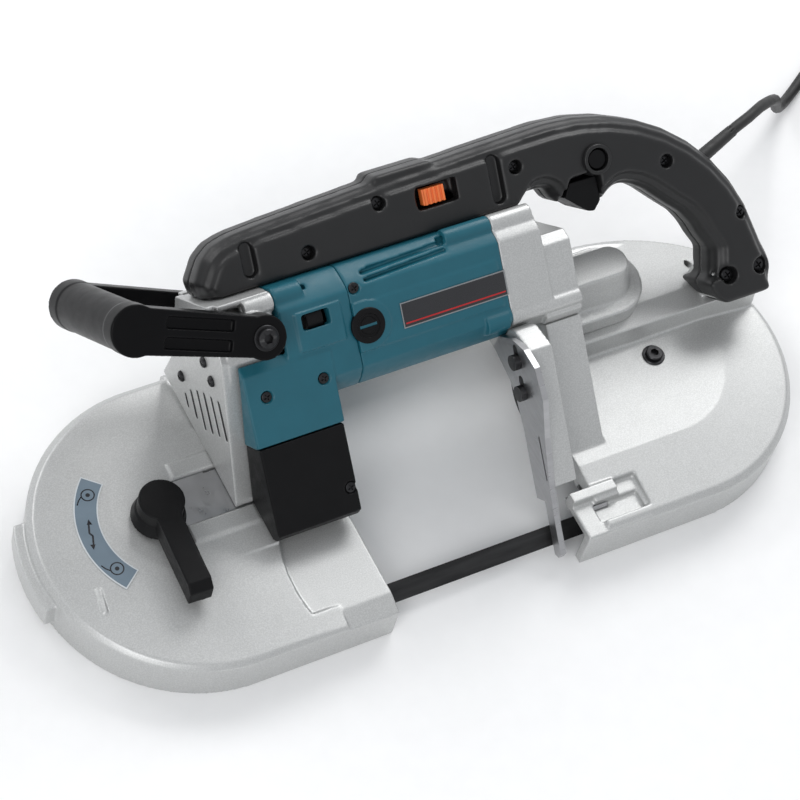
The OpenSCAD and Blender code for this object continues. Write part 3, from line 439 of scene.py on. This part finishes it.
def coil_points():
    """The stored part: four turns inwards on the floor, outwards on top of them, and up into the plug."""
    start = math.atan2(COIL_START[1] - COIL[1], COIL_START[0] - COIL[0])
    points = []
    turns = [(r, FLOOR_Z) for r in COIL_RADII] + [(r, FLOOR_Z + CORD_D) for r in reversed(COIL_RADII)]
    for number, (radius, height) in enumerate(turns):
        last = number == len(turns) - 1
        for k in range(int(COIL_STEPS * LAST_TURN) if last else COIL_STEPS):
            travel = 2 * math.pi * k / COIL_STEPS
            part = max(0.0, (travel - (2 * math.pi - CROSSOVER)) / CROSSOVER)
            ease = part * part * (3 - 2 * part)
            r, z = radius, height
            if not last:
                r += (turns[number + 1][0] - radius) * ease
                z += (turns[number + 1][1] - height) * ease
            if number == len(COIL_RADII) - 1:
                r -= TUCK * math.sin(math.pi * ease)
            a = start - travel
            points.append((COIL[0] + r * math.cos(a), COIL[1] + r * math.sin(a), z))
    # Up over the ring and into the back of the plug
    a = start - 2 * math.pi * LAST_TURN
    first = Vector((COIL[0] + COIL_RADII[0] * math.cos(a), COIL[1] + COIL_RADII[0] * math.sin(a),
                    FLOOR_Z + CORD_D))
    entry = PLUG_AT + Vector((TAIL_X, 0, 0))
    pull = (entry - first).length * LIFT_PULL
    leave = Vector((math.sin(a), -math.cos(a), 0)) * pull
    arrive = Vector((-1, 0, 0)) * pull
    return points + [tuple(hermite(first, leave, entry, arrive, k / LIFT_STEPS))
                     for k in range(LIFT_STEPS + 1)]


def smooth_path(points, per):
    """Catmull-Rom through points, with per steps between two of them."""
    p = [Vector(q) for q in points]
    p = [2 * p[0] - p[1]] + p + [2 * p[-1] - p[-2]]
    out = []
    for i in range(1, len(p) - 2):
        for k in range(per):
            t = k / per
            out.append(0.5 * (2 * p[i] + (p[i + 1] - p[i - 1]) * t
                              + (2 * p[i - 1] - 5 * p[i] + 4 * p[i + 1] - p[i + 2]) * t * t
                              + (3 * p[i] - p[i - 1] - 3 * p[i + 1] + p[i + 2]) * t**3))
    return out


wound = [Vector(p) for p in coil_points()]
cord_line = smooth_path(ROUTE + [tuple(wound[0])], 2) + wound
cord_curve = bpy.data.curves.new("cord", "CURVE")
cord_curve.dimensions = "3D"
cord_curve.bevel_depth = CORD_D / 2 * MM
cord_curve.bevel_resolution = 4
cord_curve.use_fill_caps = True
spline = cord_curve.splines.new("POLY")
spline.points.add(len(cord_line) - 1)
for point, place in zip(spline.points, cord_line):
    point.co = (*(place * MM), 1)
spline.use_smooth = True
cord_curve.materials.append(rubber)
cord = bpy.data.objects.new("mains_cord", cord_curve)
bpy.context.collection.objects.link(cord)
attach(cord, ROOT)
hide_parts("cord", "cord_coil")


PLUG_SIDES = 24
PLUG_PROFILE = [(24.0, 4.6, 4.6), (22, 5.6, 5.4), (20, 5.0, 4.8), (18, 6.4, 5.8), (16, 5.6, 5.2),
                (13.5, 8.2, 6.4), (9, 11.2, 8.2), (4, 11.6, 8.4), (-2, 10.6, 7.6), (-7, 12.0, 8.6),
                (-12, 12.8, 9.3), (-13.8, 12.5, 9.0)]
PIN_SPACING = 6.4
PIN_OUTLINE = [(-13.5, -3.1), (-30.5, -3.1), (-31.9, -1.9), (-31.9, 1.9), (-30.5, 3.1), (-13.5, 3.1)]
PIN_HALF = 0.75
TIE_SIDES = 40
TIE_SPAN = (27.6, 58.4)
TIE_HEIGHT = (0.3, 15.7)
TIE_HALF_WIDTH = 4.0
TIE_THICK = 0.28


def bulged(value, power):
    """A sine or cosine pushed towards a square, for a rounded box section."""
    return math.copysign(abs(value) ** power, value)


def plug_faces(bm):
    """A waisted grip with a ribbed tail, from sections (place, half width, half height)."""
    sections = []
    for x, wide, tall in PLUG_PROFILE:
        ring = []
        for k in range(PLUG_SIDES):
            a = 2 * math.pi * k / PLUG_SIDES
            ring.append(bm.verts.new((PLUG_AT.x + x, PLUG_AT.y + wide * bulged(math.cos(a), 0.55),
                                      PLUG_AT.z + tall * bulged(math.sin(a), 0.55))))
        sections.append(ring)
    for one, two in zip(sections, sections[1:]):
        for k in range(PLUG_SIDES):
            j = (k + 1) % PLUG_SIDES
            bm.faces.new((one[k], one[j], two[j], two[k]))
    bm.faces.new(sections[0][::-1])
    bm.faces.new(sections[-1])


def plug_pieces():
    """A two-pin plug: its body and its pins."""
    mesh = applied(mesh_of("plug_body", plug_faces), [("SUBSURF", {"levels": 1, "render_levels": 1})])
    body = linked("plug_body", mesh, rubber, replaced=("plug",))
    pins = several(*[prism([(PLUG_AT.x + x, PLUG_AT.y + side + y) for x, y in PIN_OUTLINE],
                           PLUG_AT.z - PIN_HALF, PLUG_AT.z + PIN_HALF)
                     for side in (-PIN_SPACING, PIN_SPACING)])
    mesh = applied(mesh_of("plug_pins", pins), [("BEVEL", {"width": 0.3 * MM, "segments": 2})])
    return body, linked("plug_pins", mesh, brass, smooth=False)


def tie(degrees):
    """A flat band round the coil's section."""
    angle = math.radians(degrees)
    along = Vector((-math.sin(angle), math.cos(angle), 0))
    out = Vector((math.cos(angle), math.sin(angle), 0))
    centre = Vector((COIL[0], COIL[1], 0))
    (inner, outer), (low, high) = TIE_SPAN, TIE_HEIGHT

    def make(bm):
        loops = []
        for grow in (0.0, TIE_THICK):
            for side in (-TIE_HALF_WIDTH, TIE_HALF_WIDTH):
                ring = []
                for k in range(TIE_SIDES):
                    a = 2 * math.pi * k / TIE_SIDES
                    r = (inner + outer) / 2 + ((outer - inner) / 2 + grow) * bulged(math.cos(a), 0.3)
                    z = (low + high) / 2 + ((high - low) / 2 + grow) * bulged(math.sin(a), 0.45)
                    ring.append(bm.verts.new(centre + out * r + along * side + Vector((0, 0, max(z, 0.05)))))
                loops.append(ring)
        a, b, c, d = loops
        for k in range(TIE_SIDES):
            j = (k + 1) % TIE_SIDES
            bm.faces.new((a[k], b[k], b[j], a[j]))
            bm.faces.new((c[k], c[j], d[j], d[k]))
            bm.faces.new((a[k], a[j], c[j], c[k]))
            bm.faces.new((b[k], d[k], d[j], b[j]))
    return linked(f"coil_tie_{degrees}", mesh_of("tie", make), tyre)


on_cord = [*plug_pieces(), tie(20), tie(200)]

# ------------------------------------------------------------------ floor and light
FLOOR_HALF = 6
floor_mesh = bpy.data.meshes.new("floor")
floor_mesh.from_pydata([(-FLOOR_HALF, -FLOOR_HALF, 0), (FLOOR_HALF, -FLOOR_HALF, 0),
                        (FLOOR_HALF, FLOOR_HALF, 0), (-FLOOR_HALF, FLOOR_HALF, 0)], [], [(0, 1, 2, 3)])
floor = bpy.data.objects.new("floor", floor_mesh)
bpy.context.collection.objects.link(floor)
floor_mesh.materials.append(surface("floor_pale", (0.93, 0.93, 0.93), 0.7, mottle=0.01, grain=0.0))

WORLD_LIGHT = 0.62
world = bpy.data.worlds.new("studio")
bpy.context.scene.world = world
world.use_nodes = True
world.node_tree.nodes["Background"].inputs["Color"].default_value = (0.95, 0.97, 1.0, 1)
world.node_tree.nodes["Background"].inputs["Strength"].default_value = WORLD_LIGHT


def lamp(name, place, size, power):
    """A soft rectangular light aimed at the object."""
    data = bpy.data.lights.new(name, "AREA")
    data.shape = "RECTANGLE"
    data.size, data.size_y = size
    data.energy = power
    o = bpy.data.objects.new(name, data)
    bpy.context.collection.objects.link(o)
    o.location = place
    o.rotation_euler = (Vector(LIGHT_AIM) - Vector(place)).to_track_quat("-Z", "Y").to_euler()


LIGHT_AIM = (0, 0, 0.05)
lamp("key", (1.35, 1.3, 1.7), (1.3, 1.3), 26)
lamp("back", (-0.9, 1.9, 1.5), (1.4, 0.7), 14)
lamp("fill", (-1.6, -1.2, 1.6), (1.2, 1.2), 18)

# ------------------------------------------------------------------ finishes of the CAD nodes that stay
FINISHES = {
    silver: ("bearing_plate",),
    steel: ("stopper_plate", "idler_axle", "idler_bearings", "drive_shaft", "drive_bearings", "worm_shaft",
            "intermediate_shaft", "tension_carriage", "tension_spring", "cam_shaft", "left_guide",
            "right_guide", "left_roller_outer", "left_roller_inner", "left_roller_back",
            "right_roller_outer", "right_roller_inner", "right_roller_back", "motor_bearings"),
    wheel: ("idler_wheel", "drive_wheel"),
    tyre: ("idler_tyre", "drive_tyre"),
    screw: ("stopper_screws",),
    blade_steel: ("blade",),
    bronze: ("worm_wheel",),
    windings: ("stator", "armature"),
    black: ("brushes", "speed_dial", "switch_body"),
    lens: ("lamp",),
    label_edge: ("tension_label",),
    plate_grey: ("nameplate",),
}
for material, names in FINISHES.items():
    for name in names:
        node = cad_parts[name]
        for holder in node.material_slots:
            holder.link = "OBJECT"
            holder.material = material

# ------------------------------------------------------------------ castings and mouldings
cast("frame_casting", ("main_frame",), silver, 0.8, 3, keep=0.3)

# Left bracket: the slots of its side wall, dark a little below the surface, where black plugs paint the shade
# inside them
WALL_X = -132.7
SLOT_TOPS = (88, 92, 93.5, 94, 93.5, 92.5)
SLOT_LENGTHS = (9, 18, 25, 26, 25, 25)
SLOT_W0 = -15.7
SLOT_PITCH = 10.6
SLOT_END = 1.3
ALONG_X = TILT @ Matrix(((0, 0, 1, 0), (1, 0, 0, 0), (0, 1, 0, 0), (0, 0, 0, 1)))


def vent_shapes(radius, low, high):
    """The six slots of the bracket's side wall."""
    shapes = []
    for number, (top, long) in enumerate(zip(SLOT_TOPS, SLOT_LENGTHS)):
        v, w = top - SLOT_END, SLOT_W0 + SLOT_PITCH * number
        shapes.append(slot_shape(v, w, v - (long - 2 * SLOT_END), w, radius, low, high))
    return several(*shapes)


cast("left_bracket_casting", ("left_bracket",), silver, 0.7, 2,
     cut=[solid(vent_shapes(1.6, -134, -126), ALONG_X)])
# Black plugs in the slots: painted shade standing in for the dark inside of the vents.
piece("vent_painted_shade_plug", vent_shapes(1.9, WALL_X, -127.4), ALONG_X, black)
screws("bracket_screw", [(WALL_X, 99.4, -14.5), (WALL_X, 116, 29), (WALL_X, 105, 35)], (-1, 0, 0), 3.5, 2.4,
       "bracket_screws")

for name, soften in (("gear_housing", 4), ("gear_cover", 5), ("stop_arm", 4)):
    cast(name + "_casting", (name,), silver, 0.8, soften)

# Motor housing and its front cover, with the raised ring round the brush cap and two grooves
BRUSH = (-39, 116)
RING_RADIUS = 15.2
RING_STEPS = 24
RING_BACK_X = -46.8
BRUSH_SEAT = (11.6, 60.6, 70)
HIGH_GROOVE = (-34, 142.2, 22, 144.4, 1.1, 54.5, 66)
LOW_GROOVE = (-34, 146.2, 22, 148.4, 1.1, 51, 66)
ring_outline = [(BRUSH[0] + RING_RADIUS * math.cos(a), BRUSH[1] + RING_RADIUS * math.sin(a))
                for a in (math.pi * (-0.5 + k / RING_STEPS) for k in range(RING_STEPS + 1))]
ring_outline = [(RING_BACK_X, ring_outline[0][1]), *ring_outline, (RING_BACK_X, ring_outline[-1][1])]
motor_cuts = several(disc(*BRUSH, *BRUSH_SEAT), slot_shape(*HIGH_GROOVE), slot_shape(*LOW_GROOVE))
cast("motor_moulding", ("motor_housing",), teal, 0.8, 3,
     add=[solid(prism(ring_outline, 56, 62.6), TILT)], cut=[solid(motor_cuts, TILT)])
cast("rear_cover_moulding", ("rear_cover",), teal, 0.8, 4,
     cut=[solid(disc(*BRUSH, *BRUSH_SEAT), TILT)])
cast("lamp_housing_moulding", ("lamp_housing",), black, 0.8, 4)

# The handle is melted as one body, split at its seam, and its openings are then cut sharp
MID = 24
HANDLE_SCREWS = [(-59, 164), (-8, 180), (86, 177), (191, 152), (239, 105)]
FOOT_SCREWS = [(222.5, 67.5), (246.5, 67.5)]
FOOT_W = 37
RIBS = [(-97, 160, 181), (72, 158, 188)]
RIB_RADIUS = 4.2
LOCK = (141.6, 167)
LAMP_RECESS = ((17, 168.5, MID + 12.5), (44.5, 182.5, MID + 30))
PAD = ((-6, 186, MID - 13), (34, 195.2, MID + 13))
SEAM = 0.15
ABOVE = MID + 30
pad = solid(bar(*PAD), TILT)
whole = bmesh.new()
for part in (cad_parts["handle_front"].data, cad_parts["handle_rear"].data, pad.data):
    whole.from_mesh(part)
handle_mesh = bpy.data.meshes.new("handle")
whole.to_mesh(handle_mesh)
whole.free()
bpy.data.objects.remove(pad)
melted = applied(handle_mesh, [("REMESH", {"mode": "VOXEL", "voxel_size": 1.1 * MM}),
                               ("SMOOTH", {"factor": 0.5, "iterations": 34})])
front_cuts = several(
    *[disc(x, v, 4.3, MID + 13.5, ABOVE) for x, v in HANDLE_SCREWS],
    *[disc(x, v, 5.6, FOOT_W - 0.1, ABOVE) for x, v in FOOT_SCREWS],
    *[slot_shape(x, low + 4, x, high - 4, RIB_RADIUS, MID + 14, ABOVE) for x, low, high in RIBS],
    disc(*LOCK, 7.3, MID + 12, ABOVE),
    bar(*LAMP_RECESS))
cast("handle_front_moulding", ("handle_front",), shell, 0.8, 3,
     start=half(melted, tilted(0, 0, MID + SEAM), W), cut=[solid(front_cuts, TILT)])
cast("handle_rear_moulding", ("handle_rear",), shell, 1.0, 2,
     start=half(melted, tilted(0, 0, MID - SEAM), -W))
piece("lock_ring", disc(*LOCK, 11.2, MID + 14, MID + 22.6, top=9.4), TILT, shell,
      cut=[disc(*LOCK, 7.2, MID + 13, ABOVE)], bevel=0.6)
screws("handle_screw", [(x, v, MID + 13.4) for x, v in HANDLE_SCREWS], W, 3.7, 2.4, "handle_screws")
screws("foot_screw", [(x, v, FOOT_W) for x, v in FOOT_SCREWS], W, 4.2, 2.8)

# Front handle, with its two bolts, and the bolt on the right housing
PIVOT = (-110, 132)
flange_bolt("pivot_bolt_near", tilted(*PIVOT, 77), W, 7.8, 24, ("front_handle_bolts",))
flange_bolt("pivot_bolt_far", tilted(*PIVOT, -27), -W, 7.8, 24)
flange_bolt("housing_flange_bolt", row(168, 2, 36), (0, 0, 1), 7.4, 1.9, ("housing_bolt",))
cast("front_handle_moulding", ("front_handle",), grip, 0.8, 6)
cast("lever_moulding", ("tension_lever",), black, 0.6, 4, body="lever")

# Brush caps, larger outside than their seats, with a screwdriver slot
CAP_PROFILE = [(0, -6), (8.6, -6), (8.6, 0), (11.0, 0), (11.0, 1.9), (10.5, 2.4), (7.6, 2.5), (7.2, 1.9),
               (5.4, 1.8), (5.0, 2.3), (0, 2.3)]
CAP_SLOT = ((-5.6, -0.9, 0.9), (5.6, 0.9, 4))
CAP_OUT = 36.8
for side, name, replaced in ((1, "brush_cap_near", ("brush_caps",)), (-1, "brush_cap_far", ())):
    piece(name, turned(CAP_PROFILE, 48), axis_place(tilted(*BRUSH, MID + side * CAP_OUT), side * W), black,
          replaced=replaced, cut=[bar(*CAP_SLOT)])
screws("cover_screw", [(-73.5, 93, 60), (-111.4, 93, 60), (-42.6, 140, 59.2), (-71, 23, 60)], W, 3.4, 1.6,
       "cover_screws")

cast("trigger_moulding", ("trigger",), black, 0.6, 4, body="trigger")
cast("lock_button_moulding", ("lock_button",), black, 0.35, 4, body="lock")
cast("lamp_switch_moulding", ("lamp_switch",), orange, 0.3, 3, body="lamp_slider")
cast("cord_guard_moulding", ("cord_guard",), rubber, 0.5, 3)

# ------------------------------------------------------------------ plates and labels
PLATE_LOW = Vector((-16.2, 106.8))
PLATE_HIGH = Vector((56.0, 122.7))
PLATE_TOP = 62.0
FACE_MARGIN = 0.7
LINE_MARGIN = 1.6
LINE_FROM = 2.4
LINE_TO = 3.3
piece("nameplate_face",
      bar((PLATE_LOW.x + FACE_MARGIN, PLATE_LOW.y + FACE_MARGIN, PLATE_TOP - 0.3),
          (PLATE_HIGH.x - FACE_MARGIN, PLATE_HIGH.y - FACE_MARGIN, PLATE_TOP + 0.12)),
      TILT, plate_dark, bevel=0.1)
piece("nameplate_line",
      bar((PLATE_LOW.x + LINE_MARGIN, PLATE_LOW.y + LINE_FROM, PLATE_TOP - 0.1),
          (PLATE_HIGH.x - LINE_MARGIN, PLATE_LOW.y + LINE_TO, PLATE_TOP + 0.2)),
      TILT, plate_red)

LABEL_AT = (-168.5, 7.0)
LABEL_MIDDLE = 53.0
RAISED_AT = (-160.0, 10.0)
RAISED_RADIUS = 46.0
RAISED_TOP = 36.0
HOUSING_RADIUS = 140
HOUSING_DROP = 8


def label_height(x, y):
    """Height of the housing's top under the label: flat inside the raised circle, sloping outside."""
    beyond = max(0.0, math.hypot(x - RAISED_AT[0], y - RAISED_AT[1]) - RAISED_RADIUS)
    return RAISED_TOP - beyond * HOUSING_DROP / (HOUSING_RADIUS - RAISED_RADIUS)


def on_label(name, outlines, lift, thick, material):
    """Thin flat shapes laid on the label; an outline is a list of (radius, degrees) about its centre."""
    def make(bm):
        for outline in outlines:
            low, high = [], []
            for r, a in outline:
                x = LABEL_AT[0] + r * math.cos(math.radians(a))
                y = LABEL_AT[1] + r * math.sin(math.radians(a))
                z = label_height(x, y) + lift
                low.append(bm.verts.new((x, y, z)))
                high.append(bm.verts.new((x, y, z + thick)))
            bm.faces.new(low[::-1])
            bm.faces.new(high)
            for k in range(len(outline)):
                j = (k + 1) % len(outline)
                bm.faces.new((low[k], low[j], high[j], high[k]))
        bmesh.ops.triangulate(bm, faces=bm.faces)
    linked(name, mesh_of(name, make, LAY), material, smooth=False)


def sector(r0, r1, a0, a1, steps=28):
    """The outline of a part of a ring."""
    turn = [a0 + (a1 - a0) * k / steps for k in range(steps + 1)]
    return [(r1, a) for a in turn] + [(r0, a) for a in reversed(turn)]


def stroke(points, width):
    """The outline of a line drawn through points."""
    left, right = [], []
    for i, p in enumerate(points):
        a, b = points[max(i - 1, 0)], points[min(i + 1, len(points) - 1)]
        d = Vector((b[0] - a[0], b[1] - a[1])).normalized()
        left.append((p[0] - d.y * width / 2, p[1] + d.x * width / 2))
        right.append((p[0] + d.y * width / 2, p[1] - d.x * width / 2))
    return left + right[::-1]


def placed(outline, degrees):
    """Points given across and along the band at an angle, turned into the polar frame of the label."""
    a = math.radians(degrees)
    out, along = Vector((math.cos(a), math.sin(a))), Vector((-math.sin(a), math.cos(a)))
    points = [out * (LABEL_MIDDLE + u) + along * v for u, v in outline]
    return [(math.hypot(q.x, q.y), math.degrees(math.atan2(q.y, q.x)) % 360) for q in points]


def circle(radius, width, sides=28):
    """A ring about the middle in pieces, so that each outline is simple."""
    parts = []
    for k in range(sides):
        a, b = 2 * math.pi * k / sides, 2 * math.pi * (k + 1) / sides
        parts.append([((radius + e) * math.cos(t), (radius + e) * math.sin(t))
                      for t, e in ((a, width / 2), (b, width / 2), (b, -width / 2), (a, -width / 2))])
    return parts


on_label("label_border", [sector(46.2, 60.6, 134.6, 217.4)], 0.3, 0.35, label_edge)
on_label("label_face", [sector(47.0, 59.8, 135.4, 216.6)], 0.45, 0.3, label_blue)
ink = []
for degrees, tail in ((146, 1), (205, -1)):
    marks = circle(3.9, 0.8) + circle(0.7, 1.4, 10) + [
        stroke([(3.5, tail * 1.6), (4.6, tail * 5.0), (4.8, tail * 8.2)], 0.8)]
    ink += [placed(m, degrees) for m in marks]
arrow = [stroke([(1.4, 8.5), (-0.6, 1.0)], 1.1), stroke([(-1.2, -8.5), (0.8, -1.0)], 1.1),
         stroke([(-0.6, 1.2), (0.8, -1.2)], 1.1),
         [(1.9, 10.2), (2.9, 6.2), (-0.2, 7.0)], [(-1.8, -10.2), (-2.8, -6.2), (0.4, -7.0)]]
ink += [placed(m, 175.5) for m in arrow]
on_label("label_marks", ink, 0.7, 0.08, plate_dark)
